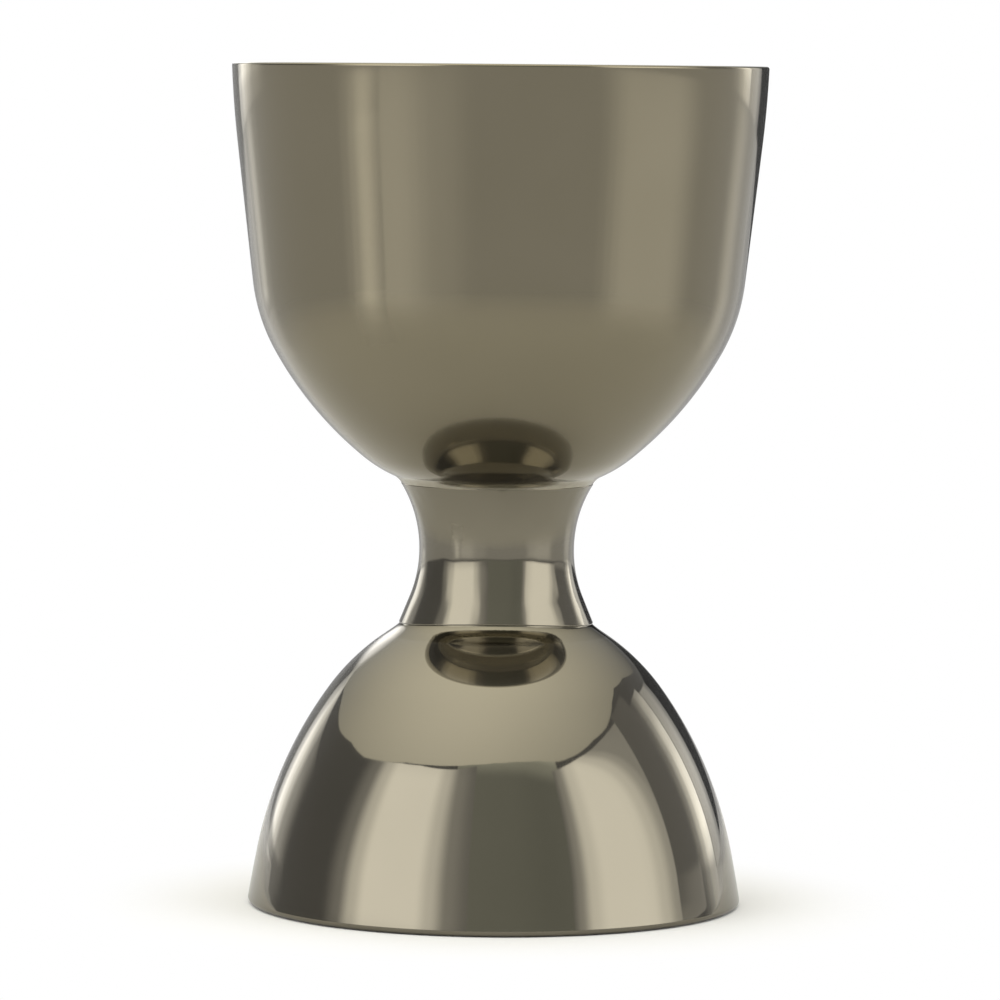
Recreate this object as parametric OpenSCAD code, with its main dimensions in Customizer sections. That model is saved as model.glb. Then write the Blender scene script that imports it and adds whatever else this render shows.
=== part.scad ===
// Bell jigger: a large and a small measuring cup, base to base on a waisted hollow collar.
// The origin is the centre of the small cup's rim, on which the jigger stands. +Z is the common axis.
// A weld stud on the small cup screws into a weld nut on the large cup and clamps the collar between them.
// A thin ring of solder closes each seam.

/* [Large cup] */
// Outside diameter at the rim
large_rim_d = 52.5; // [46:0.1:60]
// Height from the base to the rim
large_h = 41.4; // [36:0.1:48]
// Radius of the arc that leaves the flat base
large_base_r = 13.4; // [8:0.1:18]
// Slope, from level, where the base arc meets the flank
large_base_angle = 39; // [34:0.5:44]
// Slope, from level, where the flank meets the knuckle
large_flank_angle = 61; // [56:0.5:66]
// Angle of the straight wall from upright
large_wall_angle = 6.6; // [4:0.1:9]
// Angle left at the rim, from upright
large_rim_angle = 2.2; // [0:0.1:4]
// Length of the straight wall, as a share of the radius of the knuckle below it
large_wall_share = 0.753; // [0.4:0.001:1.5]
// Radius of the arc that turns the wall up to the rim, as a share of the knuckle's radius
large_lip_share = 5.5; // [3:0.1:8]

/* [Small cup] */
// Outside diameter at the rim
small_rim_d = 48.6; // [44:0.1:51]
// Height from the base to the rim
small_h = 28.9; // [27:0.1:34]
// Radius of the arc that leaves the flat base
small_base_r = 7.4; // [4:0.1:10]
// Slope, from level, where the base arc meets the flank
small_base_angle = 24.5; // [20:0.5:30]
// Slope, from level, where the flank meets the knuckle
small_flank_angle = 54; // [48:0.5:58]
// Angle of the straight wall from upright
small_wall_angle = 10.4; // [9:0.1:14]
// Angle left at the rim, from upright
small_rim_angle = 8.5; // [6:0.1:9]
// Length of the straight wall, as a share of the radius of the knuckle below it
small_wall_share = 0.061; // [0.01:0.001:0.3]
// Radius of the arc that turns the wall up to the rim, as a share of the knuckle's radius
small_lip_share = 1.73; // [1:0.01:3]

/* [Cup sheet] */
// Thickness of both cups
cup_wall = 1.0; // [0.8:0.05:1.4]
// Diameter of the flat in the middle of each base
base_flat_d = 9.5; // [9:0.1:12]
// Radius on the outer edge of each rim
large_edge_r = 0.25; // [0.1:0.01:0.5]
small_edge_r = 0.5; // [0.1:0.01:0.5]
// Radius on the inner edge of a rim
rim_inner_r = 0.2; // [0.05:0.01:0.2]

/* [Collar] */
// Distance between the two flat bases
base_gap = 12.1; // [10:0.1:16]
// Outside diameter at the waist
waist_d = 15.2; // [14:0.1:17]
// Outside diameter where the collar meets the large cup
collar_top_d = 19.7; // [18:0.1:24]
// Outside diameter where the collar meets the small cup
collar_bottom_d = 19.5; // [18:0.1:24]
// Height of the waist as a share of the collar's height
waist_share = 0.52; // [0.4:0.01:0.6]
// Form of the lower flare, from a plain cone at 0 to a full arc at 1
flare_share = 0.43; // [0.2:0.01:1]
// Thickness of the collar
collar_wall = 1.0; // [0.6:0.05:1.2]
// How far down the collar the upper solder ring runs, and how far out on the large cup
upper_solder_leg = 0.85; // [0.4:0.01:0.9]
upper_solder_foot = 0.25; // [0.2:0.01:0.5]
// How far up the collar the lower solder ring runs, and how far out on the small cup
lower_solder_leg = 0.7; // [0.4:0.01:0.9]
lower_solder_foot = 0.9; // [0.5:0.01:1.1]
// How deep a solder ring reaches under the collar's end
solder_root = 0.3; // [0.2:0.01:0.4]
// How far a solder ring's edges stand proud of the sheet
solder_edge = 0.04; // [0.03:0.01:0.06]
// Turn of a solder ring's hollow face
solder_hollow_angle = 20; // [4:0.5:22]

/* [Stud and nut] */
// Diameter of the stud
stud_d = 6; // [4:0.1:6]
// Diameter of the stud's weld flange
stud_flange_d = 8.6; // [7:0.1:9]
// Thickness of the stud's weld flange
stud_flange_h = 1.0; // [0.6:0.1:1.5]
// Bevel at the stud's tip
stud_bevel = 0.8; // [0.3:0.1:1.2]
// Size of the nut across its flats
nut_flats = 10; // [8:0.1:10]
// Height of the nut
nut_h = 6; // [4:0.1:7]
// Countersink at the nut's mouth
nut_bevel = 0.7; // [0.2:0.1:1]
// Radial clearance of the stud in the nut
thread_clearance = 0.05; // [0.02:0.01:0.2]
// Space left between the stud's tip and the large cup
stud_end_gap = 0.6; // [0.2:0.1:2]

/* [Hidden] */
$fa = 2;
$fs = 0.2;
// Turn between two points of an arc, on the sheet and on a rim's small edges
sheet_step_angle = 3;
edge_step_angle = 15;
metal = [0.49, 0.46, 0.39];
polished = [0.62, 0.58, 0.49];
solder = [0.75, 0.72, 0.64];
plain_steel = [0.66, 0.66, 0.67];
// How far a cut runs past what it cuts
overrun = 0.5;
large_base_z = small_h + base_gap;

// Directions in the half section [r, z]: a slope is measured from level, and the metal lies inward of it
function along(slope) = [cos(slope), sin(slope)];
function inward(slope) = [-sin(slope), cos(slope)];

// Where an arc of radius r ends that leaves point p on slope a and turns to slope b.
// The radius is positive where the arc's centre lies inward and negative where it lies outward.
function arc_end(p, r, a, b) = p + r * (inward(a) - inward(b));

// Points along such an arc, after its start
function arc_points(p, r, a, b, step_angle) =
    let (n = ceil(abs(b - a) / step_angle))
    [for (i = [1 : n]) arc_end(p, r, a, a + (b - a) * i / n)];

function reversed(points) = [for (i = [len(points) - 1 : -1 : 0]) points[i]];
function without_last(points) = [for (i = [0 : len(points) - 2]) points[i]];

// A path is a list of stations [point, slope, radius of the arc that leads there, or 0 for a straight].
// This gives the points of a path that is moved inward by inset.
function traced(path, inset = 0) = [
    for (i = [0 : len(path) - 1])
        let (here = path[i][0] + inset * inward(path[i][1]))
        if (path[i][2] == 0)
            here
        else
            let (last = path[i - 1], start = last[0] + inset * inward(last[1]))
            each arc_points(start, path[i][2] - inset, last[1], path[i][1], sheet_step_angle)
];

// The outside of a cup that stands on its base, from the edge of the base's flat to the rim, all tangent.
// The radii of the flank and of the knuckle are what the other sizes leave over.
function cup_path(rim_d, h, base_r, base_angle, flank_angle, wall_angle, rim_angle, wall_share, lip_share) =
    let (
        wall_slope = 90 - wall_angle,
        rim_slope = 90 - rim_angle,
        rest = [(rim_d - base_flat_d) / 2, h] - base_r * (inward(0) - inward(base_angle)),
        flank = inward(base_angle) - inward(flank_angle),
        upper = inward(flank_angle) - inward(wall_slope)
            + wall_share * along(wall_slope)
            + lip_share * (inward(wall_slope) - inward(rim_slope)),
        flank_r = cross(rest, upper) / cross(flank, upper),
        knuckle_r = cross(flank, rest) / cross(flank, upper),
        base_edge = [base_flat_d / 2, 0],
        flank_start = arc_end(base_edge, base_r, 0, base_angle),
        knuckle_start = arc_end(flank_start, flank_r, base_angle, flank_angle),
        wall_start = arc_end(knuckle_start, knuckle_r, flank_angle, wall_slope),
        lip_start = wall_start + wall_share * knuckle_r * along(wall_slope),
        lip_r = lip_share * knuckle_r,
        rim = arc_end(lip_start, lip_r, wall_slope, rim_slope)
    )
    [
        [base_edge, 0, 0],
        [flank_start, base_angle, base_r],
        [knuckle_start, flank_angle, flank_r],
        [wall_start, wall_slope, knuckle_r],
        [lip_start, wall_slope, 0],
        [rim, rim_slope, lip_r]
    ];

large_path = cup_path(large_rim_d, large_h, large_base_r, large_base_angle, large_flank_angle,
    large_wall_angle, large_rim_angle, large_wall_share, large_lip_share);
small_path = cup_path(small_rim_d, small_h, small_base_r, small_base_angle, small_flank_angle,
    small_wall_angle, small_rim_angle, small_wall_share, small_lip_share);

// The arc of a cup's path that spans radius r, as [centre, arc radius]
function arc_at(path, r, i = 1) =
    path[i][0][0] >= r
        ? [path[i - 1][0] + path[i][2] * inward(path[i - 1][1]), path[i][2]]
        : arc_at(path, r, i + 1);

// Height of a cup's outside over its base, and its slope, at radius r
function height_at(path, r) =
    let (arc = arc_at(path, r))
    arc[0][1] - sqrt(pow(arc[1], 2) - pow(r - arc[0][0], 2));
function slope_at(path, r) =
    let (arc = arc_at(path, r))
    asin((r - arc[0][0]) / arc[1]);

// Where the collar's outside meets each cup, and where its waist is
seam_top = [collar_top_d / 2, large_base_z + height_at(large_path, collar_top_d / 2)];
seam_bottom = [collar_bottom_d / 2, small_h - height_at(small_path, collar_bottom_d / 2)];
waist = [waist_d / 2, seam_bottom[1] + waist_share * (seam_top[1] - seam_bottom[1])];

// Above the waist the collar is one arc. Below it an arc runs out into a cone.
rise = seam_top - waist;
drop = [seam_bottom[0] - waist[0], waist[1] - seam_bottom[1]];
top_arc_r = (pow(rise[0], 2) + pow(rise[1], 2)) / (2 * rise[0]);
top_flare = asin(rise[1] / top_arc_r);
bottom_flare = (1 + flare_share) * atan2(drop[0], drop[1]);
bottom_arc_r = (drop[1] - drop[0] / tan(bottom_flare)) / tan(bottom_flare / 2);
cone_slope = 90 + bottom_flare;
top_slope = 90 - top_flare - sheet_step_angle;

// The collar's outside, from below its lower seam to one step of arc above its upper one
collar_path = [
    [seam_bottom - overrun * along(cone_slope), cone_slope, 0],
    [waist + bottom_arc_r * (inward(cone_slope) - inward(90)), cone_slope, 0],
    [waist, 90, -bottom_arc_r],
    [arc_end(waist, -top_arc_r, 90, top_slope), top_slope, -top_arc_r]
];

// Half section of a cup's rim, rounded on both edges, from its outside over the top to its inside
function rim_points(rim, slope, edge_r) =
    let (
        lean = 90 - slope,
        outer = rim - edge_r * [(1 + sin(lean)) / cos(lean), 1],
        inner = rim + [(rim_inner_r * (1 - sin(lean)) - cup_wall) / cos(lean), -rim_inner_r],
        outer_start = outer - edge_r * inward(slope),
        inner_start = inner - rim_inner_r * inward(180)
    )
    concat(
        [outer_start], arc_points(outer_start, edge_r, slope, 180, edge_step_angle),
        [inner_start], arc_points(inner_start, rim_inner_r, 180, 180 + slope, edge_step_angle)
    );

// A drawn cup of even thickness, standing on its base
module cup(path, edge_r) {
    rim = path[len(path) - 1];
    rotate_extrude()
        polygon(concat(
            [[0, 0]], without_last(traced(path)), rim_points(rim[0], rim[1], edge_r),
            reversed(without_last(traced(path, cup_wall))), [[0, cup_wall]]
        ));
}

// Half section of all that a cup encloses
module enclosed(path) {
    rim = path[len(path) - 1][0];
    polygon(concat([[0, 0]], traced(path), [[0, rim[1]]]));
}

// Half section of a solder ring and its seat, in its cup's frame. Its face is a hollow arc from the collar to the
// cup. The flare is the slope from upright of the collar's last piece, as long as the leg.
module solder_section(path, seam_r, flare, leg, foot) {
    slope = slope_at(path, seam_r);
    foot_r = seam_r + foot;
    seam = [seam_r, height_at(path, seam_r)];
    on_cup = [foot_r, height_at(path, foot_r)] - solder_edge * inward(slope_at(path, foot_r));
    on_collar = seam + solder_edge * [cos(flare), -sin(flare)] - leg * [sin(flare), cos(flare)];
    face = on_cup - on_collar;
    face_slope = atan2(face[1], face[0]);
    half_turn = solder_hollow_angle / 2;
    face_r = norm(face) / (2 * sin(half_turn));
    root = seam - solder_root * along(slope);
    in_cup = solder_root * inward(slope);
    polygon(concat(
        [on_collar],
        arc_points(on_collar, -face_r, face_slope + half_turn, face_slope - half_turn, sheet_step_angle),
        [on_cup + in_cup, root + in_cup]
    ));
}

// Half sections moved from a cup's frame to the jigger's
module on_large() { translate([0, large_base_z]) children(); }
module on_small() { translate([0, small_h]) mirror([0, 1]) children(); }

module upper_solder() {
    on_large()
        solder_section(large_path, seam_top[0], top_flare - asin(upper_solder_leg / (2 * top_arc_r)),
            upper_solder_leg, upper_solder_foot);
}

module lower_solder() {
    on_small()
        solder_section(small_path, seam_bottom[0], bottom_flare, lower_solder_leg, lower_solder_foot);
}

module large_cup() {
    color(metal)
        translate([0, 0, large_base_z])
            cup(large_path, large_edge_r);
}

module small_cup() {
    color(polished)
        translate([0, 0, small_h])
            mirror([0, 0, 1])
                cup(small_path, small_edge_r);
}

module neck_collar() {
    color(metal)
        rotate_extrude()
            difference() {
                polygon(concat(traced(collar_path), reversed(traced(collar_path, collar_wall))));
                on_large() enclosed(large_path);
                on_small() enclosed(small_path);
                upper_solder();
                lower_solder();
            }
}

module upper_solder_ring() {
    color(solder)
        rotate_extrude()
            difference() {
                upper_solder();
                on_large() enclosed(large_path);
            }
}

module lower_solder_ring() {
    color(solder)
        rotate_extrude()
            difference() {
                lower_solder();
                on_small() enclosed(small_path);
            }
}

module tie_stud() {
    length = base_gap - stud_end_gap;
    color(plain_steel)
        translate([0, 0, small_h]) {
            cylinder(h = stud_flange_h, d = stud_flange_d);
            cylinder(h = length - stud_bevel, d = stud_d);
            translate([0, 0, length - stud_bevel])
                cylinder(h = stud_bevel, d1 = stud_d, d2 = stud_d - 2 * stud_bevel);
        }
}

module tie_nut() {
    bore_d = stud_d + 2 * thread_clearance;
    color(plain_steel)
        translate([0, 0, large_base_z - nut_h])
            difference() {
                cylinder(h = nut_h, d = nut_flats / cos(30), $fn = 6);
                translate([0, 0, -overrun])
                    cylinder(h = nut_h + 2 * overrun, d = bore_d);
                translate([0, 0, -overrun])
                    cylinder(h = overrun + nut_bevel, d1 = bore_d + 2 * (nut_bevel + overrun), d2 = bore_d);
            }
}

large_cup();
small_cup();
neck_collar();
upper_solder_ring();
lower_solder_ring();
tie_stud();
tie_nut();
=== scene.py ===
"""Looks of the bell jigger: two smoked steel measuring cups on a waisted collar, in a small studio."""

import math

import bpy
import numpy as np
from mathutils import Matrix, Vector


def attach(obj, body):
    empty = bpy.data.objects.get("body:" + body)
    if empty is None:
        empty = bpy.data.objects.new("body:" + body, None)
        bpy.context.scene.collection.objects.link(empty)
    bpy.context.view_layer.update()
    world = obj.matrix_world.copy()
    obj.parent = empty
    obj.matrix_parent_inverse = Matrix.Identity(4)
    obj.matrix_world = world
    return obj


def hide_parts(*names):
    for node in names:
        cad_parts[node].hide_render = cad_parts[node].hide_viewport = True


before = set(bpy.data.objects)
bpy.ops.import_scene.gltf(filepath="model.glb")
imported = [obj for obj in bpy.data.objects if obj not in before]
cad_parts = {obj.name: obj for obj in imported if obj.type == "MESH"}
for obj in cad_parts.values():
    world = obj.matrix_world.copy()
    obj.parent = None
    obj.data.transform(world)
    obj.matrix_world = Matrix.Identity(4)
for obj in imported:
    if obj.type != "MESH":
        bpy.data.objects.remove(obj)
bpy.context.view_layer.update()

# Sizes of the part, in millimetres and degrees, as in its source
LARGE = dict(rim_d=52.5, h=41.4, base_r=13.4, base_angle=39, flank_angle=61, wall_angle=6.6, rim_angle=2.2,
             wall_share=0.753, lip_share=5.5)
SMALL = dict(rim_d=48.6, h=28.9, base_r=7.4, base_angle=24.5, flank_angle=54, wall_angle=10.4, rim_angle=8.5,
             wall_share=0.061, lip_share=1.73)
CUP_WALL = 1.0
BASE_FLAT_D = 9.5
LARGE_EDGE_R = 0.25
SMALL_EDGE_R = 0.5
RIM_INNER_R = 0.2
BASE_GAP = 12.1
WAIST_D = 15.2
COLLAR_TOP_D = 19.7
COLLAR_BOTTOM_D = 19.5
WAIST_SHARE = 0.52
FLARE_SHARE = 0.43
COLLAR_WALL = 1.0
SOLDER_ROOT = 0.3
LARGE_BASE_Z = SMALL["h"] + BASE_GAP

# How far the solder runs along the collar and out on each cup. It was smoothed by hand, so this differs from
# the even rings of the solids. The collar's ends have rounded lips above it.
UPPER_LEG = 0.74
UPPER_FOOT = 0.35
LOWER_SIDE_LEG = 0.48
LOWER_FRONT_LEG = 1.1
LOWER_FOOT = 1.1
UPPER_LIP = 0.05
LOWER_LIP = 0.12

# Turn between two points of an arc on the sheet and on a small edge, and steps of a fillet and of a full turn
SHEET_STEP = 1.0
EDGE_STEP = 7.5
BEND_STEPS = 32
TURN_STEPS = 288
# A millimetre in metres
MM = 0.001


def sin(degrees):
    return math.sin(math.radians(degrees))


def cos(degrees):
    return math.cos(math.radians(degrees))


def heading(slope):
    """Unit vector [r, z] along a slope."""
    return np.array([cos(slope), sin(slope)])


def inward(slope):
    """Unit vector [r, z] square to a slope, from a cup's outside to its inside."""
    return np.array([-sin(slope), cos(slope)])


def cross(a, b):
    return a[0] * b[1] - a[1] * b[0]


def arc_end(p, r, a, b):
    """Where an arc of radius r ends that leaves p on slope a and turns to slope b."""
    return p + r * (inward(a) - inward(b))


def arc(p, r, a, b, step):
    """Points [r, z, slope] along an arc that leaves p on slope a and turns to slope b, with both its ends."""
    n = max(1, math.ceil(abs(b - a) / step))
    slopes = [a + (b - a) * i / n for i in range(n + 1)]
    return [(*arc_end(p, r, a, s), s) for s in slopes]


def bend(p, a, q, b):
    """Points [r, z, slope] of a smooth curve that leaves p on slope a and arrives at q on slope b."""
    corner = p + heading(a) * cross(q - p, heading(b)) / cross(heading(a), heading(b))
    points = []
    for i in range(BEND_STEPS + 1):
        share = i / BEND_STEPS
        place = (1 - share) ** 2 * p + 2 * share * (1 - share) * corner + share ** 2 * q
        run = (1 - share) * (corner - p) + share * (q - corner)
        points.append((*place, math.degrees(math.atan2(run[1], run[0]))))
    return points


def cup_path(rim_d, h, base_r, base_angle, flank_angle, wall_angle, rim_angle, wall_share, lip_share):
    """Stations [point, slope, radius of the arc that leads there] of a cup's outside, from base to rim.

    The radii of the flank and the knuckle are solved so that the rim has its diameter and height."""
    wall_slope = 90 - wall_angle
    rim_slope = 90 - rim_angle
    rest = np.array([(rim_d - BASE_FLAT_D) / 2, h]) - base_r * (inward(0) - inward(base_angle))
    flank = inward(base_angle) - inward(flank_angle)
    upper = (inward(flank_angle) - inward(wall_slope) + wall_share * heading(wall_slope)
             + lip_share * (inward(wall_slope) - inward(rim_slope)))
    flank_r = cross(rest, upper) / cross(flank, upper)
    knuckle_r = cross(flank, rest) / cross(flank, upper)
    base_edge = np.array([BASE_FLAT_D / 2, 0.0])
    flank_start = arc_end(base_edge, base_r, 0, base_angle)
    knuckle_start = arc_end(flank_start, flank_r, base_angle, flank_angle)
    wall_start = arc_end(knuckle_start, knuckle_r, flank_angle, wall_slope)
    lip_start = wall_start + wall_share * knuckle_r * heading(wall_slope)
    lip_r = lip_share * knuckle_r
    rim = arc_end(lip_start, lip_r, wall_slope, rim_slope)
    return [(base_edge, 0, 0), (flank_start, base_angle, base_r), (knuckle_start, flank_angle, flank_r),
            (wall_start, wall_slope, knuckle_r), (lip_start, wall_slope, 0), (rim, rim_slope, lip_r)]


def traced(path, inset=0.0):
    """Points [r, z, slope] of a path that is moved inward by inset."""
    points = [(*(path[0][0] + inset * inward(path[0][1])), path[0][1])]
    for (start, a, _), (end, b, radius) in zip(path[:-1], path[1:]):
        if radius:
            points += arc(start + inset * inward(a), radius - inset, a, b, SHEET_STEP)[1:]
        else:
            points.append((*(end + inset * inward(b)), b))
    return points


def cup_outline(path, edge_r):
    """Two runs of points [r, z, slope]: over the outside and the rim, and on over the inside to the axis."""
    rim, slope = path[-1][0], path[-1][1]
    lean = 90 - slope
    outer = rim - edge_r * np.array([(1 + sin(lean)) / cos(lean), 1])
    inner = rim + np.array([(RIM_INNER_R * (1 - sin(lean)) - CUP_WALL) / cos(lean), -RIM_INNER_R])
    outside = [(0.0, 0.0, 0.0)] + traced(path)[:-1]
    edge = arc(outer - edge_r * inward(slope), edge_r, slope, 180, EDGE_STEP)
    edge += arc(inner - RIM_INNER_R * inward(180), RIM_INNER_R, 180, 180 + slope, EDGE_STEP)
    inside = [(r, z, s + 180) for r, z, s in reversed(traced(path, CUP_WALL)[:-1])]
    inside.append((0.0, CUP_WALL, 180.0))
    return outside + edge, inside


def put_in_scene(name, data):
    made = bpy.data.objects.new(name, data)
    bpy.context.scene.collection.objects.link(made)
    return made


def lathe(name, section, materials, base_z=0.0, turned_over=False, split=None):
    """Turns a half section into a mesh. Its points are [r, z, slope] in mm. It is closed or ends on the axis.

    The section is a function of the turn from the right, in degrees. The mesh stands on base_z, or hangs
    below it if turned over. Its normals are the section's own. Points from number split on have the second
    material."""
    side = -1 if turned_over else 1
    turns = [360 * i / TURN_STEPS for i in range(TURN_STEPS)]
    rows = list(zip(*[section(turn) for turn in turns]))
    verts, normals, index = [], [], []
    for row in rows:
        index.append(len(verts))
        if row[0][0] == 0:
            verts.append((0, 0, (base_z + side * row[0][1]) * MM))
            normals.append((0, 0, -side * cos(row[0][2])))
            continue
        for turn, (r, z, slope) in zip(turns, row):
            verts.append((cos(turn) * r * MM, sin(turn) * r * MM, (base_z + side * z) * MM))
            normals.append((cos(turn) * sin(slope), sin(turn) * sin(slope), -side * cos(slope)))
    pairs = list(zip(range(len(rows) - 1), range(1, len(rows))))
    closed = rows[0][0][0] > 0
    if closed:
        pairs.append((len(rows) - 1, 0))
    faces, kinds = [], []
    for a, b in pairs:
        kind = int(split is not None and a >= split)
        for i in range(TURN_STEPS):
            j = (i + 1) % TURN_STEPS
            if rows[a][0][0] == 0:
                face = (index[a], index[b] + j, index[b] + i)
            elif rows[b][0][0] == 0:
                face = (index[a] + i, index[a] + j, index[b])
            else:
                face = (index[a] + i, index[a] + j, index[b] + j, index[b] + i)
            faces.append(face[::side])
            kinds.append(kind)
    mesh = bpy.data.meshes.new(name)
    mesh.from_pydata(verts, [], faces)
    for material in materials:
        mesh.materials.append(material)
    mesh.polygons.foreach_set("material_index", kinds)
    mesh.polygons.foreach_set("use_smooth", [True] * len(faces))
    mesh.update()
    mesh.normals_split_custom_set_from_vertices(normals)
    return put_in_scene(name, mesh)


def arc_at(path, r):
    """Centre and radius of the arc of a cup's path that spans radius r."""
    for (start, a, _), (end, _, radius) in zip(path[:-1], path[1:]):
        if end[0] >= r:
            return start + radius * inward(a), radius
    raise ValueError("no arc spans that radius")


def height_at(path, r):
    centre, radius = arc_at(path, r)
    return centre[1] - math.sqrt(radius ** 2 - (r - centre[0]) ** 2)


def slope_at(path, r):
    centre, radius = arc_at(path, r)
    return math.degrees(math.asin((r - centre[0]) / radius))


# Node helpers
def node(tree, kind, **inputs):
    """A new node with its inputs set: a value sets a socket, and an output socket is linked to it.

    A key is a socket's name, with two underscores for a space, or the letter i and a socket's number. A key
    that starts with an underscore sets a property of the node."""
    made = tree.nodes.new(kind)
    for key, value in inputs.items():
        if key.startswith("_"):
            setattr(made, key[1:], value)
            continue
        numbered = key[0] == "i" and key[1:].isdigit()
        socket = made.inputs[int(key[1:]) if numbered else key.replace("__", " ")]
        if isinstance(value, bpy.types.NodeSocket):
            tree.links.new(value, socket)
        else:
            socket.default_value = value
    return made


def maths(tree, operation, a, b=0.0, c=0.0):
    return node(tree, "ShaderNodeMath", _operation=operation, i0=a, i1=b, i2=c).outputs[0]


def spread(tree, value, levels, results=(0.0, 1.0)):
    """Maps a value between two levels to one between two results, smoothly and held at its ends."""
    made = node(tree, "ShaderNodeMapRange", _interpolation_type="SMOOTHSTEP", i0=value,
                i1=levels[0], i2=levels[1], i3=results[0], i4=results[1])
    return made.outputs[0]


def noise(tree, vector, scale, detail, rough):
    made = node(tree, "ShaderNodeTexNoise", Vector=vector, Scale=scale, Detail=detail, Roughness=rough)
    return made.outputs[0]


def mixed(tree, share, first, second):
    """A colour between two others, by its share of the second."""
    made = node(tree, "ShaderNodeMix", _data_type="RGBA", i0=share, i6=(*first, 1), i7=(*second, 1))
    return made.outputs[2]


def new_material(name):
    material = bpy.data.materials.new(name)
    material.use_nodes = True
    material.node_tree.nodes.clear()
    return material, material.node_tree


def turned_coordinates(tree):
    """Distance from the axis and height of a point, in millimetres, and the point itself."""
    place = node(tree, "ShaderNodeTexCoord").outputs["Object"]
    mm = node(tree, "ShaderNodeVectorMath", _operation="SCALE", i0=place, Scale=1 / MM).outputs[0]
    split = node(tree, "ShaderNodeSeparateXYZ", i0=mm)
    square = maths(tree, "MULTIPLY", split.outputs[0], split.outputs[0])
    square = maths(tree, "MULTIPLY_ADD", split.outputs[1], split.outputs[1], square)
    return maths(tree, "SQRT", square), split.outputs[2], mm


# Noise patterns of the metals: scale in waves per millimetre, detail and roughness
DRIFT = (0.05, 1.0, 0.5)
SMUDGES = (0.12, 3.0, 0.55)
CLOUDS = (0.06, 2.0, 0.5)
WAVES = (0.4, 1.0, 0.5)
GRAIN = (1.2, 4.0, 0.6)
# Detail and roughness of the buffing lines, how far they drift in mm, and their share in the haze
LINE_DETAIL = (3.0, 0.6)
LINE_DRIFT = 1.5
LINE_SHARE = 0.35
# Levels of a pattern between which it takes effect
HAZE_LEVELS = (0.45, 0.95)
CLOUD_LEVELS = (0.35, 0.65)
GRAIN_LEVELS = (0.3, 0.7)
# The collar's waves are drawn out along the axis
WAVE_STRETCH = (1.0, 1.0, 0.3)
# The grain's height in mm and strength, and its effect on the roughness
GRAIN_HEIGHT = 0.02
GRAIN_STRENGTH = 0.4
GRAIN_ROUGHNESS = (0.8, 1.3)
# A thin hazy coat lies over the smoked steel
HAZE_SHARE = 0.5
HAZE_ROUGHNESS = 0.55
HAZE_IOR = 1.35


def smoked_metal(name, tone, smoke, roughness, line_height, line_scale, wave_height=0.0):
    """Polished steel with a smoked coat: buffing lines round the axis, faint smudges and a cloudy tone.

    A wave height in mm makes a surface that was finished by hand along the axis."""
    material, tree = new_material(name)
    radius, height, place = turned_coordinates(tree)
    # Buffing lines run round the axis, and drift a little as they go
    run = maths(tree, "MULTIPLY_ADD", noise(tree, place, *DRIFT), LINE_DRIFT, height)
    line_place = node(tree, "ShaderNodeCombineXYZ", i0=radius, i1=run, i2=0.0).outputs[0]
    lines = noise(tree, line_place, line_scale, *LINE_DETAIL)
    # Smudges and the depth of the smoke vary over some millimetres
    haze = maths(tree, "MULTIPLY_ADD", lines, LINE_SHARE, noise(tree, place, *SMUDGES))
    cloud = spread(tree, noise(tree, place, *CLOUDS), CLOUD_LEVELS)
    bump = node(tree, "ShaderNodeBump", Strength=1.0, Distance=line_height * MM, Height=lines).outputs[0]
    if wave_height:
        drawn_out = node(tree, "ShaderNodeVectorMath", _operation="MULTIPLY", i0=place, i1=WAVE_STRETCH)
        waves = noise(tree, drawn_out.outputs[0], *WAVES)
        bump = node(tree, "ShaderNodeBump", Strength=1.0, Distance=wave_height * MM, Height=waves,
                    Normal=bump).outputs[0]
    shader = node(tree, "ShaderNodeBsdfPrincipled", Base__Color=mixed(tree, cloud, tone, smoke), Metallic=1.0,
                  Roughness=spread(tree, haze, HAZE_LEVELS, roughness), Normal=bump,
                  Coat__Weight=HAZE_SHARE, Coat__Roughness=HAZE_ROUGHNESS, Coat__IOR=HAZE_IOR)
    node(tree, "ShaderNodeOutputMaterial", Surface=shader.outputs[0])
    return material


def ring_metal(name, tone, dark, rough):
    """Solder or bare steel: fine grain in tone and in gloss."""
    material, tree = new_material(name)
    place = turned_coordinates(tree)[2]
    grain = noise(tree, place, *GRAIN)
    roughness = [rough * change for change in GRAIN_ROUGHNESS]
    bump = node(tree, "ShaderNodeBump", Strength=GRAIN_STRENGTH, Distance=GRAIN_HEIGHT * MM, Height=grain)
    shader = node(tree, "ShaderNodeBsdfPrincipled", Metallic=1.0, Normal=bump.outputs[0],
                  Base__Color=mixed(tree, spread(tree, grain, GRAIN_LEVELS), tone, dark),
                  Roughness=spread(tree, grain, GRAIN_LEVELS, roughness))
    node(tree, "ShaderNodeOutputMaterial", Surface=shader.outputs[0])
    return material


# Base colours of the metals, and those where the smoke or the grain is deeper
UPPER_TONE = (0.233, 0.206, 0.143)
UPPER_SMOKE = (0.224, 0.198, 0.136)
LOWER_TONE = (0.224, 0.203, 0.154)
LOWER_SMOKE = (0.215, 0.195, 0.147)
SOLDER_TONE = (0.44, 0.41, 0.33)
SOLDER_DARK = (0.38, 0.35, 0.28)
STEEL_TONE = (0.50, 0.50, 0.51)
STEEL_DARK = (0.40, 0.40, 0.41)

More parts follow.
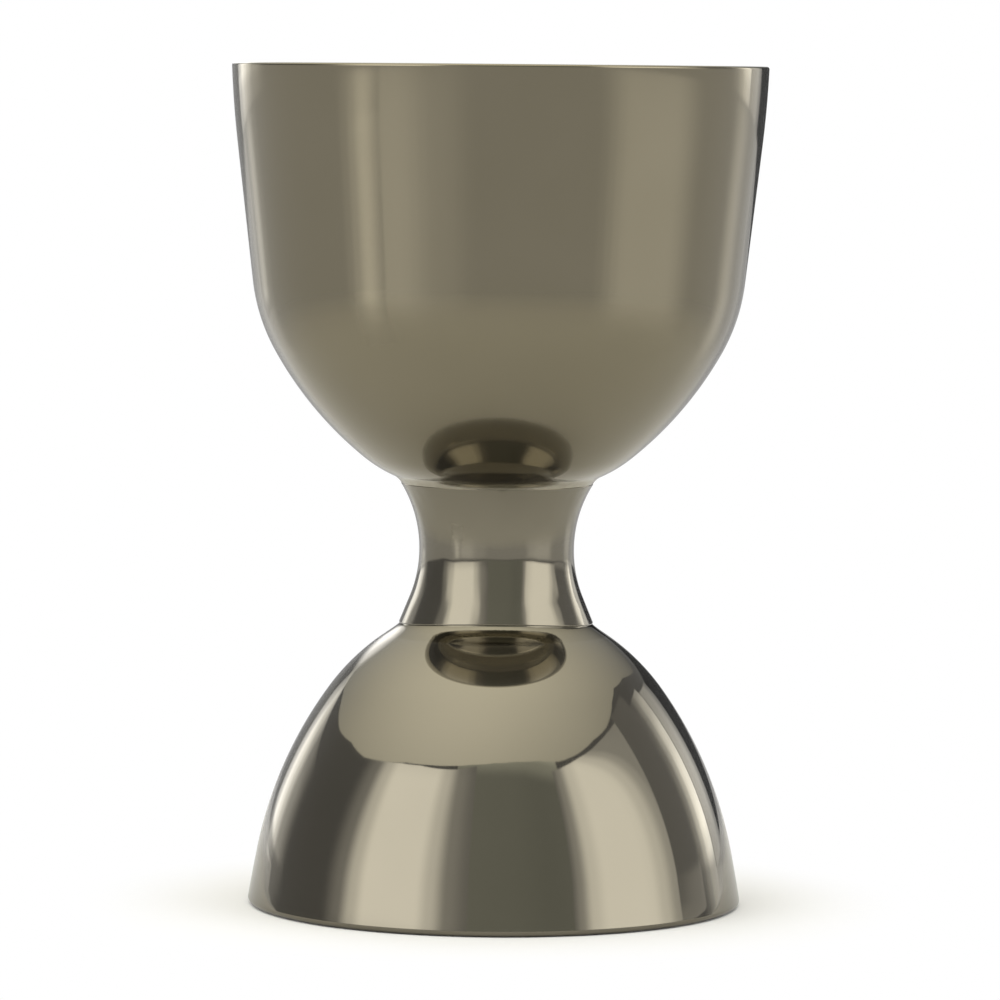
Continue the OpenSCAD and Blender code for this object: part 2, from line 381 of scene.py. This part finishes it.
upper_metal = smoked_metal("smoked_steel_upper", UPPER_TONE, UPPER_SMOKE, (0.06, 0.09),
                           line_height=0.0001, line_scale=9.0)
lower_metal = smoked_metal("smoked_steel_lower", LOWER_TONE, LOWER_SMOKE, (0.03, 0.05),
                           line_height=0.00005, line_scale=9.0)
collar_metal = smoked_metal("smoked_steel_collar", LOWER_TONE, LOWER_SMOKE, (0.07, 0.1),
                            line_height=0.00005, line_scale=9.0, wave_height=0.12)
inside_metal = smoked_metal("smoked_steel_inside", UPPER_TONE, UPPER_SMOKE, (0.16, 0.24),
                            line_height=0.0006, line_scale=6.0)
bright_solder = ring_metal("bright_solder", SOLDER_TONE, SOLDER_DARK, rough=0.2)
smoked_solder = ring_metal("smoked_solder", LOWER_TONE, LOWER_SMOKE, rough=0.05)
plain_metal = ring_metal("bare_steel", STEEL_TONE, STEEL_DARK, rough=0.35)

large_path = cup_path(**LARGE)
small_path = cup_path(**SMALL)


def make_cup(name, node_name, outside_metal, path, edge_r, base_z, turned_over):
    outside, inside = cup_outline(path, edge_r)

    def section(turn):
        """The cup's half section, which is the same at every turn."""
        return outside + inside

    piece = lathe(name, section, [outside_metal, inside_metal], base_z, turned_over, len(outside))
    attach(piece, "root")
    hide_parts(node_name)


make_cup("large_cup_shell", "large_cup", upper_metal, large_path, LARGE_EDGE_R,
         base_z=LARGE_BASE_Z, turned_over=False)
make_cup("small_cup_shell", "small_cup", lower_metal, small_path, SMALL_EDGE_R,
         base_z=SMALL["h"], turned_over=True)


def collar_sizes():
    """The collar's seams and waist, its two arcs and the slope of its cone."""
    top = np.array([COLLAR_TOP_D / 2, LARGE_BASE_Z + height_at(large_path, COLLAR_TOP_D / 2)])
    bottom = np.array([COLLAR_BOTTOM_D / 2, SMALL["h"] - height_at(small_path, COLLAR_BOTTOM_D / 2)])
    waist = np.array([WAIST_D / 2, bottom[1] + WAIST_SHARE * (top[1] - bottom[1])])
    rise = top - waist
    drop = np.array([bottom[0] - waist[0], waist[1] - bottom[1]])
    top_r = rise @ rise / (2 * rise[0])
    top_flare = math.degrees(math.asin(rise[1] / top_r))
    bottom_flare = (1 + FLARE_SHARE) * math.degrees(math.atan2(drop[0], drop[1]))
    tangent = math.tan(math.radians(bottom_flare))
    bottom_r = (drop[1] - drop[0] / tangent) / math.tan(math.radians(bottom_flare / 2))
    return top, bottom, waist, top_r, top_flare, bottom_r, bottom_flare


SEAM_TOP, SEAM_BOTTOM, WAIST, TOP_R, TOP_FLARE, BOTTOM_R, BOTTOM_FLARE = collar_sizes()
CONE = 90 + BOTTOM_FLARE
CONE_END = WAIST + BOTTOM_R * (inward(CONE) - inward(90))


def lower_leg(turn):
    """How far up the collar the lower solder goes. The end is fitted by hand, higher in front and behind."""
    return LOWER_SIDE_LEG + (LOWER_FRONT_LEG - LOWER_SIDE_LEG) * sin(turn) ** 2


def collar_foot(turn):
    """Where the collar's visible side begins above the lower solder."""
    return SEAM_BOTTOM + lower_leg(turn) * heading(CONE) + LOWER_LIP * inward(CONE)


def collar_outside(turn):
    """The collar's side from its lower to its upper end, each of which has a rounded edge at the solder."""
    top_slope = 90 - TOP_FLARE + math.degrees((UPPER_LEG + UPPER_LIP) / TOP_R)
    points = arc(collar_foot(turn), LOWER_LIP, BOTTOM_FLARE, CONE, EDGE_STEP)
    points += arc(CONE_END, -BOTTOM_R, CONE, 90, SHEET_STEP)
    points += arc(WAIST, -TOP_R, 90, top_slope, SHEET_STEP)[1:]
    head = np.array(points[-1][:2])
    return points + arc(head, UPPER_LIP, top_slope, top_slope + 90, EDGE_STEP)[1:]


def collar_inside():
    """The collar's inside from its upper to its lower end, cut where it meets the cups."""
    points = [(*(SEAM_BOTTOM + COLLAR_WALL * inward(CONE)), CONE)]
    points += arc(CONE_END + COLLAR_WALL * inward(CONE), -BOTTOM_R - COLLAR_WALL, CONE, 90, SHEET_STEP)
    points += arc(WAIST + COLLAR_WALL * inward(90), -TOP_R - COLLAR_WALL, 90, 90 - TOP_FLARE, SHEET_STEP)[1:]
    kept = []
    for r, z, slope in reversed(points):
        under = LARGE_BASE_Z + height_at(large_path, r)
        over = SMALL["h"] - height_at(small_path, r)
        kept.append((r, min(max(z, over), under), slope + 180))
    return kept


def make_collar():
    inside = collar_inside()

    def section(turn):
        return collar_outside(turn) + inside

    piece = lathe("collar_sleeve", section, [collar_metal])
    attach(piece, "root")
    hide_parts("neck_collar")


make_collar()


def solder_section(path, seam_r, end, end_slope, foot):
    """A hollow fillet that runs on smoothly from the collar's end to a cup's dome, in the cup's frame."""
    seam = np.array([seam_r, height_at(path, seam_r)])
    slope = slope_at(path, seam_r)
    on_cup = np.array([seam_r + foot, height_at(path, seam_r + foot)])
    root = seam - SOLDER_ROOT * heading(slope) + SOLDER_ROOT * inward(slope)
    points = [(*root, 270.0)] + bend(end, end_slope, on_cup, slope_at(path, seam_r + foot))
    return points + [(*(on_cup + SOLDER_ROOT * inward(slope)), 90.0)]


def upper_solder(turn):
    """The upper solder's section, which is the same at every turn."""
    end_slope = 90 - TOP_FLARE + math.degrees(UPPER_LEG / TOP_R)
    end = arc_end(WAIST, -TOP_R, 90, end_slope) + UPPER_LIP * inward(end_slope)
    return solder_section(large_path, SEAM_TOP[0], end - np.array([0, LARGE_BASE_Z]), end_slope, UPPER_FOOT)


def lower_solder(turn):
    """The lower solder's section, which reaches higher in front and behind."""
    end = collar_foot(turn)
    hung = np.array([end[0], SMALL["h"] - end[1]])
    return solder_section(small_path, SEAM_BOTTOM[0], hung, 90 - BOTTOM_FLARE, LOWER_FOOT)


def make_solder(name, node_name, material, section, base_z, turned_over):
    piece = lathe(name, section, [material], base_z, turned_over)
    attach(piece, "root")
    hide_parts(node_name)


make_solder("upper_solder_fillet", "upper_solder_ring", bright_solder, upper_solder,
            base_z=LARGE_BASE_Z, turned_over=False)
make_solder("lower_solder_fillet", "lower_solder_ring", smoked_solder, lower_solder,
            base_z=SMALL["h"], turned_over=True)

# The stud and the nut are hidden, and stay as solids
for name in ("tie_stud", "tie_nut"):
    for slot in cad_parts[name].material_slots:
        slot.material = plain_metal

# Studio: azimuths are from the camera's side, positive to its right, and elevations from level, in degrees.
# Its radii and heights are in metres.
STUDIO_R = 1.3
FRONT_R = 1.32
GLOW_R = 1.28
ROOF_R = 1.5
EYE_Z = 0.035
PANEL_STEPS = 24
WHITE = (1, 1, 1)


def direction(azimuth, elevation):
    """Unit vector towards a place in the studio."""
    return Vector((sin(azimuth) * cos(elevation), -cos(azimuth) * cos(elevation), sin(elevation)))


def stage_object(name, verts, faces, uvs, material, seen=False):
    """A mesh of the studio, hidden from the camera unless seen. Its uv are shares of its width and height."""
    mesh = bpy.data.meshes.new(name)
    mesh.from_pydata(verts, [], faces)
    layer = mesh.uv_layers.new(name="share")
    for loop in mesh.loops:
        layer.data[loop.index].uv = uvs[loop.vertex_index]
    mesh.materials.append(material)
    made = put_in_scene(name, mesh)
    made.visible_camera = seen


def profile(tree, value, stops):
    """A smooth curve through stops [place, level], both from 0 to 1."""
    ramp = node(tree, "ShaderNodeValToRGB", Fac=value)
    ramp.color_ramp.interpolation = "EASE"
    marks = ramp.color_ramp.elements
    while len(marks) < len(stops):
        marks.new(0.5)
    # Each mark now moves to its own place
    for mark, (place, level) in zip(marks, stops):
        mark.position = place
        mark.color = (level, level, level, 1)
    return ramp.outputs[0]


def faded(share):
    """Stops of a profile that fades out over this share of its length at either end."""
    return ((0, 0), (share, 1), (1 - share, 1), (1, 0))


def glow(tree, colour, strength):
    return node(tree, "ShaderNodeEmission", Color=(*colour, 1), Strength=strength).outputs[0]


def clear(tree):
    return node(tree, "ShaderNodeBsdfTransparent").outputs[0]


def blend(tree, share, first, second):
    """A surface between two others, by its share of the second."""
    return node(tree, "ShaderNodeMixShader", i0=share, i1=first, i2=second).outputs[0]


EVEN = ((0, 1), (1, 1))
# A slanted profile moves by this share of the width at the top, with this power of the height
SLANT = 0.5
SLANT_POWER = 4.0


def light(name, strength, across=EVEN, along=EVEN, slanted=None, added=False, colour=WHITE, fading=None):
    """Light whose level changes over the width and the height of its panel, as shares of its strength.

    The slanted profile moves towards the start of the width near the top. An added light lets through what
    is behind it. A fading one does so at its edges, over these shares of its width and height."""
    material, tree = new_material(name)
    share = node(tree, "ShaderNodeUVMap", _uv_map="share").outputs[0]
    split = node(tree, "ShaderNodeSeparateXYZ", i0=share)
    level = maths(tree, "MULTIPLY", profile(tree, split.outputs[0], across), strength)
    level = maths(tree, "MULTIPLY", profile(tree, split.outputs[1], along), level)
    if slanted:
        near_top = maths(tree, "POWER", split.outputs[1], SLANT_POWER)
        reach = maths(tree, "MULTIPLY_ADD", near_top, SLANT, split.outputs[0])
        reach = maths(tree, "DIVIDE", reach, 1 + SLANT)
        level = maths(tree, "MULTIPLY", profile(tree, reach, slanted), level)
    surface = glow(tree, colour, level)
    if added:
        surface = node(tree, "ShaderNodeAddShader", i0=surface, i1=clear(tree)).outputs[0]
    if fading:
        sides = profile(tree, split.outputs[0], faded(fading[0]))
        ends = profile(tree, split.outputs[1], faded(fading[1]))
        surface = blend(tree, maths(tree, "MULTIPLY", sides, ends), clear(tree), surface)
    node(tree, "ShaderNodeOutputMaterial", Surface=surface)
    return material


def strip_faces(steps):
    """Faces of a strip whose points come in pairs."""
    return [(2 * i, 2 * i + 1, 2 * i + 3, 2 * i + 2) for i in range(steps)]


def wall_panel(name, left, right, bottoms, tops, material, radius=STUDIO_R):
    """A standing panel bent round the object: its edges' elevations are spread over its width."""
    verts, uvs = [], []
    for i in range(PANEL_STEPS + 1):
        share = i / PANEL_STEPS
        flat = direction(left + (right - left) * share, 0) * radius
        for j, heights in enumerate((bottoms, tops)):
            elevation = float(np.interp(share, np.linspace(0, 1, len(heights)), heights))
            verts.append((flat.x, flat.y, EYE_Z + radius * math.tan(math.radians(elevation))))
            uvs.append((share, j))
    stage_object(name, verts, strip_faces(PANEL_STEPS), uvs, material)


# Hem of the roof of diffusing cloth: its elevations, every 15 degrees of azimuth from straight behind
ROOF_HEM = (6, 12, 17, 21.5, 25, 29.5, 32, 36, 39.8, 42.3, 44.3, 46, 47,
            47, 46, 43.6, 42.8, 42.4, 40.6, 39.6, 38.5, 31.5, 20, 14, 6)
ROOF_AROUND = 144
ROOF_UP = 12
ROOF_COLOUR = (1.015, 1, 0.92)
# The cloth's level on the axis at the floor, and its change over one radius upwards, to the right and back
ROOF_LEVEL = -0.04
ROOF_RISE = 1.79
ROOF_RIGHT = -0.31
ROOF_BACK = -0.21


def roof_material():
    material, tree = new_material("roof_cloth")
    place = node(tree, "ShaderNodeTexCoord").outputs["Object"]
    split = node(tree, "ShaderNodeSeparateXYZ", i0=place)
    level = maths(tree, "MULTIPLY_ADD", split.outputs[2], ROOF_RISE / ROOF_R, ROOF_LEVEL)
    level = maths(tree, "MULTIPLY_ADD", split.outputs[0], ROOF_RIGHT / ROOF_R, level)
    level = maths(tree, "MULTIPLY_ADD", split.outputs[1], ROOF_BACK / ROOF_R, level)
    node(tree, "ShaderNodeOutputMaterial", Surface=glow(tree, ROOF_COLOUR, level))
    return material


def make_roof():
    """A dome over the object, from the hem up to straight above."""
    verts, uvs, faces = [], [], []
    for i in range(ROOF_AROUND):
        azimuth = -180 + 360 * i / ROOF_AROUND
        hem = float(np.interp(azimuth, np.linspace(-180, 180, len(ROOF_HEM)), ROOF_HEM))
        for j in range(ROOF_UP):
            elevation = hem + (90 - hem) * j / ROOF_UP
            verts.append(tuple(Vector((0, 0, EYE_Z)) + direction(azimuth, elevation) * ROOF_R))
            uvs.append((i / ROOF_AROUND, j / ROOF_UP))
    verts.append((0, 0, EYE_Z + ROOF_R))
    uvs.append((0.5, 1))
    for i in range(ROOF_AROUND):
        here, there = i * ROOF_UP, (i + 1) % ROOF_AROUND * ROOF_UP
        for j in range(ROOF_UP - 1):
            faces.append((here + j, there + j, there + j + 1, here + j + 1))
        faces.append((here + ROOF_UP - 1, there + ROOF_UP - 1, len(verts) - 1))
    stage_object("roof", verts, faces, uvs, roof_material())


make_roof()
wall_panel("left_softbox", -88, -12, (1, 1), (33, 36, 39, 41.3, 42.6, 44, 46),
           light("left_light", 2.5,
                 across=((0, 0.09), (0.13, 0.23), (0.235, 0.7), (0.33, 1), (0.66, 0.98), (0.76, 0.7),
                         (0.87, 0.28), (1, 0.18)),
                 along=((0, 0.8), (0.15, 1), (0.85, 1), (1, 0.93))))
wall_panel("right_softbox", 38, 98, (1, 1), (42, 42, 42, 41.5, 41, 40, 38.5),
           light("right_light", 2.48,
                 across=((0, 0.19), (0.06, 0.33), (0.17, 0.82), (0.3, 1), (1, 1)),
                 slanted=((0, 1), (0.42, 1), (0.467, 0.97), (0.555, 0.75), (0.645, 0.44), (0.69, 0.33),
                          (1, 0.3))))
wall_panel("front_wall", -25, 42, (0, 0), (50, 51, 51, 51, 50, 47.5, 45),
           light("front_grey", 1.25,
                 across=((0, 1), (0.5, 0.97), (0.8, 0.86), (1, 0.9)),
                 along=((0, 0.355), (0.74, 0.355), (0.9, 0.68), (1, 1)),
                 colour=(0.96, 1, 0.92)), radius=FRONT_R)
wall_panel("left_strip", -153, -118, (-2, -2), (19, 16),
           light("left_strip_light", 2.8,
                 across=((0, 0.18), (0.12, 0.5), (0.23, 1), (0.34, 0.85), (0.43, 0.6), (0.6, 0.25), (1, 0)),
                 along=((0, 0.2), (0.08, 0.35), (0.16, 0.97), (0.6, 0.95), (0.85, 0.65), (1, 0.4)),
                 added=True))
wall_panel("right_wall", 98, 118, (0, 0), (40, 36),
           light("right_wall_grey", 0.64, along=((0, 1), (0.04, 0.9), (0.1, 0.5), (1, 0.5))))
wall_panel("right_strip", 115, 134.5, (-3, -3), (33, 27),
           light("right_strip_light", 3.3,
                 across=((0, 0), (0.26, 0.16), (0.5, 0.48), (0.68, 0.9), (0.8, 1), (1, 0.95)),
                 along=((0, 0.1), (0.06, 0.3), (0.16, 0.8), (0.25, 1), (0.45, 0.85), (0.65, 0.6),
                        (0.85, 0.35), (1, 0.2)),
                 added=True))
wall_panel("right_grey", 135, 150, (-3, -3), (25, 17),
           light("right_grey_light", 1.4,
                 across=((0, 1), (0.5, 0.95), (0.85, 0.5), (1, 0.25)),
                 along=((0, 0.7), (0.4, 1), (1, 0.6))))
wall_panel("left_glow", -180, -148, (0, 2, 6, 11, 15, 18), (20, 25, 28, 28, 28),
           light("left_glow_light", 2.6,
                 across=((0, 1), (0.55, 1), (0.75, 0.7), (1, 0.4)),
                 along=((0, 0.8), (0.35, 1), (1, 0.45)), fading=(0.25, 0.25)), radius=GLOW_R)
wall_panel("edge_card", 149, 172, (-3, -3), (17, 8), light("edge_dark", 0.03))
wall_panel("back_card", 172, 208, (-3, -3), (7, 10), light("back_dark", 0.3))

# Pools of light painted just above the floor, and a painted shadow of the floor behind the object: a dark
# sheet just above the floor. The outward walls of the large cup show them.
POOL_NEAR = 0.08
POOL_FAR = 1.2
POOL_Z = 0.0005
POOL_STEPS = 16
SOFT = ((0, 0), (0.5, 1), (1, 0))
OUTWARD = ((0, 0), (0.15, 1), (1, 0.8))


def floor_pool(name, left, right, material, near=POOL_NEAR, far=POOL_FAR):
    """A pool on the floor between two azimuths and two distances. It runs along from near to far."""
    verts, uvs = [], []
    for i in range(POOL_STEPS + 1):
        share = i / POOL_STEPS
        flat = direction(left + (right - left) * share, 0)
        for j, away in enumerate((near, far)):
            verts.append((flat.x * away, flat.y * away, POOL_Z))
            uvs.append((share, j))
    stage_object(name, verts, strip_faces(POOL_STEPS), uvs, material)


floor_pool("left_pool", -69, -52,
           light("left_pool_light", 0.56, across=SOFT, along=OUTWARD, added=True))
floor_pool("left_wide_pool", -76, -10,
           light("left_wide_light", 0.44, across=((0, 0), (0.2, 0.9), (0.45, 1), (0.75, 0.35), (1, 0)),
                 along=OUTWARD, added=True))
floor_pool("right_pool", 40, 99,
           light("right_pool_light", 0.44, across=((0, 0), (0.3, 1), (0.65, 1), (1, 0)),
                 along=OUTWARD, added=True))
floor_pool("left_back_pool", -162, -129,
           light("left_back_light", 0.26, across=((0, 0), (0.2, 0.6), (0.4, 1), (0.7, 0.9), (1, 0)),
                 along=OUTWARD, added=True))
floor_pool("left_line_pool", -148, -134,
           light("left_line_light", 0.5, across=SOFT, along=OUTWARD, added=True), near=0.3, far=1.25)
floor_pool("right_back_pool", 117, 140,
           light("right_back_light", 0.42, across=SOFT, along=OUTWARD, added=True))
# Painted shadow: this dark sheet stands for the shaded floor behind the object, as the metal mirrors it
floor_pool("painted_back_shadow", 149, 209, light("painted_back_shadow_dark", 0.45, fading=(0.15, 0.06)), near=0.1, far=3.4)

# The floor lies a hair below the rim. The camera sees its own shading near the object, which fades to plain
# white between two distances in metres. The metal mirrors its shading near by, and an even level further out.
FLOOR_Z = -0.00005
FLOOR_RINGS = (0.1, 0.4, 3.5)
FLOOR_AROUND = 96
SEEN_FADE = (0.024, 0.042)
SEEN_GREY = (0.9, 0.9, 0.9, 1)
MIRRORED_FADE = (0.08, 0.25)
MIRRORED_GREY = (0.67, 0.67, 0.67, 1)
MIRRORED_LEVEL = 0.69
ROOM_LEVEL = 0.2


def floor_material():
    """Pale paper: it takes the object's shadow near it, and is plain white further out."""
    material, tree = new_material("pale_paper")
    place = node(tree, "ShaderNodeTexCoord").outputs["Object"]
    away = node(tree, "ShaderNodeVectorMath", _operation="LENGTH", i0=place).outputs[1]
    rays = node(tree, "ShaderNodeLightPath")
    matt = node(tree, "ShaderNodeBsdfDiffuse", Color=SEEN_GREY).outputs[0]
    dull = node(tree, "ShaderNodeBsdfDiffuse", Color=MIRRORED_GREY).outputs[0]
    seen = blend(tree, spread(tree, away, SEEN_FADE), matt, glow(tree, WHITE, 1.0))
    mirrored = blend(tree, spread(tree, away, MIRRORED_FADE), dull, glow(tree, WHITE, MIRRORED_LEVEL))
    both = blend(tree, rays.outputs["Is Camera Ray"], mirrored, seen)
    node(tree, "ShaderNodeOutputMaterial", Surface=both)
    return material


def make_floor():
    """A round sheet of rings about its middle."""
    verts = [(0, 0, FLOOR_Z)]
    for r in FLOOR_RINGS:
        turns = [360 * i / FLOOR_AROUND for i in range(FLOOR_AROUND)]
        verts += [(r * cos(turn), r * sin(turn), FLOOR_Z) for turn in turns]
    faces = []
    for i in range(FLOOR_AROUND):
        k = (i + 1) % FLOOR_AROUND
        faces.append((0, 1 + i, 1 + k))
        for n in range(len(FLOOR_RINGS) - 1):
            a, b = 1 + n * FLOOR_AROUND, 1 + (n + 1) * FLOOR_AROUND
            faces.append((a + i, b + i, b + k, a + k))
    uvs = [(0, 0)] * len(verts)
    stage_object("floor", verts, faces, uvs, floor_material(), seen=True)


make_floor()


def make_world():
    """White where the camera looks past the floor, and a dim room in reflections."""
    world = bpy.data.worlds.new("room")
    bpy.context.scene.world = world
    world.use_nodes = True
    tree = world.node_tree
    tree.nodes.clear()
    rays = node(tree, "ShaderNodeLightPath")
    room = node(tree, "ShaderNodeBackground", Color=(*WHITE, 1), Strength=ROOM_LEVEL).outputs[0]
    white = node(tree, "ShaderNodeBackground", Color=(*WHITE, 1), Strength=1.0).outputs[0]
    node(tree, "ShaderNodeOutputWorld", Surface=blend(tree, rays.outputs["Is Camera Ray"], room, white))


make_world()

# Camera: fitted to the outline in the photograph, in metres and degrees, with lens and sensor in millimetres
CAMERA_PLACE = Vector((0.00029, -0.5681, 0.08086))
CAMERA_PITCH = 4.14
CAMERA_ROLL = 0.5
CAMERA_LENS = 208.7
CAMERA_SENSOR = 36.0
CAMERA_CLIP = (0.05, 10.0)


def make_camera():
    forward = Vector((0, cos(CAMERA_PITCH), -sin(CAMERA_PITCH)))
    level = Vector((1, 0, 0))
    over = level.cross(forward)
    right = cos(CAMERA_ROLL) * level + sin(CAMERA_ROLL) * over
    up = cos(CAMERA_ROLL) * over - sin(CAMERA_ROLL) * level
    data = bpy.data.cameras.new("camera")
    data.lens = CAMERA_LENS
    data.sensor_width = CAMERA_SENSOR
    data.clip_start, data.clip_end = CAMERA_CLIP
    camera = put_in_scene("camera", data)
    facing = Matrix((right, up, -forward)).transposed().to_4x4()
    camera.matrix_world = Matrix.Translation(CAMERA_PLACE) @ facing
    bpy.context.scene.camera = camera


make_camera()
bpy.context.scene.view_settings.view_transform = "Standard"
